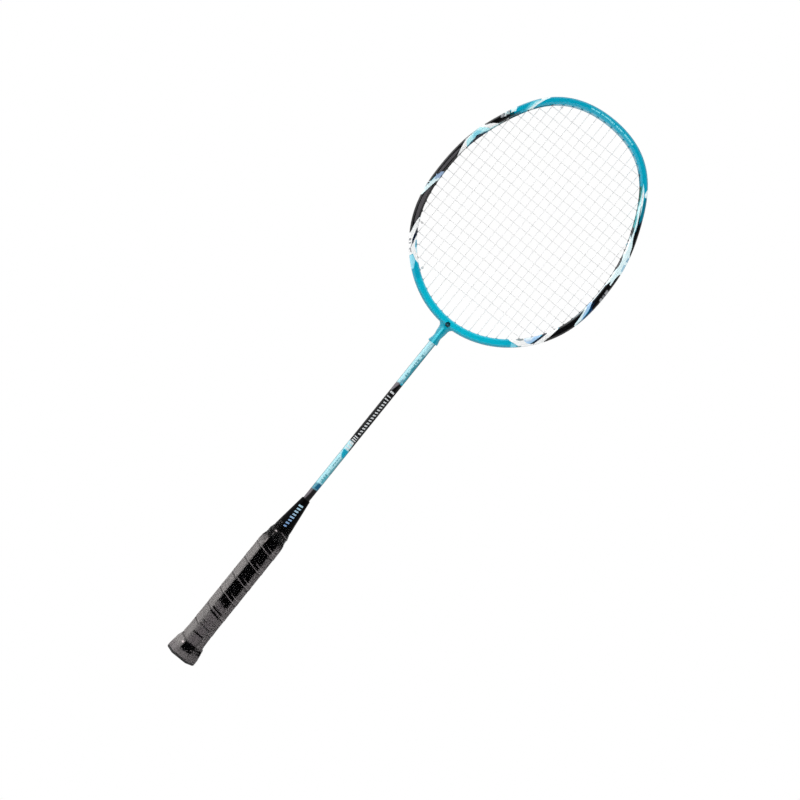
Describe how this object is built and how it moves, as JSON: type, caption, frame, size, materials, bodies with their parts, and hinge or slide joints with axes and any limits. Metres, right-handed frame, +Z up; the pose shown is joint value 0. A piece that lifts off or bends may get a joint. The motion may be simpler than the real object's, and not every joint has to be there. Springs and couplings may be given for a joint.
{
  "type": "badminton racket",
  "caption": "Strung badminton racket: hollow carbon head hoop with grommets, slim shaft, cone cap, wood handle and wrapped grip under clear film.",
  "frame": {"origin": "centre of the flat end face of the butt cap, which the racket stands on when upright", "axes": "+Z up the shaft to the crown of the head; +X across the head in the plane of the string bed; string bed in the XZ plane, so its two faces look along -Y and +Y"},
  "size_m": [0.2068, 0.0304, 0.675],
  "materials": {
    "frame_paint": "gloss paint over carbon fibre composite",
    "joint_resin": "moulded, matte",
    "shaft_paint": "gloss paint over carbon fibre composite, in bands",
    "cone_plastic": "gloss",
    "handle_wood": "sanded, unfinished",
    "butt_plastic": "satin",
    "disc_plastic": "gloss",
    "adhesive": "double-sided tape",
    "grip_pu": "polyurethane synthetic leather, fine grain",
    "tape_vinyl": "gloss vinyl",
    "clear_film": "clear shrink film, slightly hazy",
    "staple_steel": "bright wire",
    "string_nylon": "coated multifilament",
    "grommet_nylon": "moulded, satin"
  },
  "bodies": {
    "root": {"head_frame": "frame_paint", "t_joint": "joint_resin", "shaft": "shaft_paint", "cone_cap": "cone_plastic", "handle_core": "handle_wood", "butt_cap": "butt_plastic", "butt_disc": "disc_plastic", "grip_adhesive": "adhesive", "base_grip": "grip_pu", "finishing_tape": "tape_vinyl", "grip_film": "clear_film", "grip_staple": "staple_steel", "main_string": "string_nylon", "cross_string": "string_nylon", "main_knots": "string_nylon", "cross_knots": "string_nylon", "grommets_crown": "grommet_nylon", "grommets_lower": "grommet_nylon", "grommets_left": "grommet_nylon", "grommets_right": "grommet_nylon", "grommets_shared": "grommet_nylon", "grommets_throat": "grommet_nylon"}
  },
  "joints": []
}
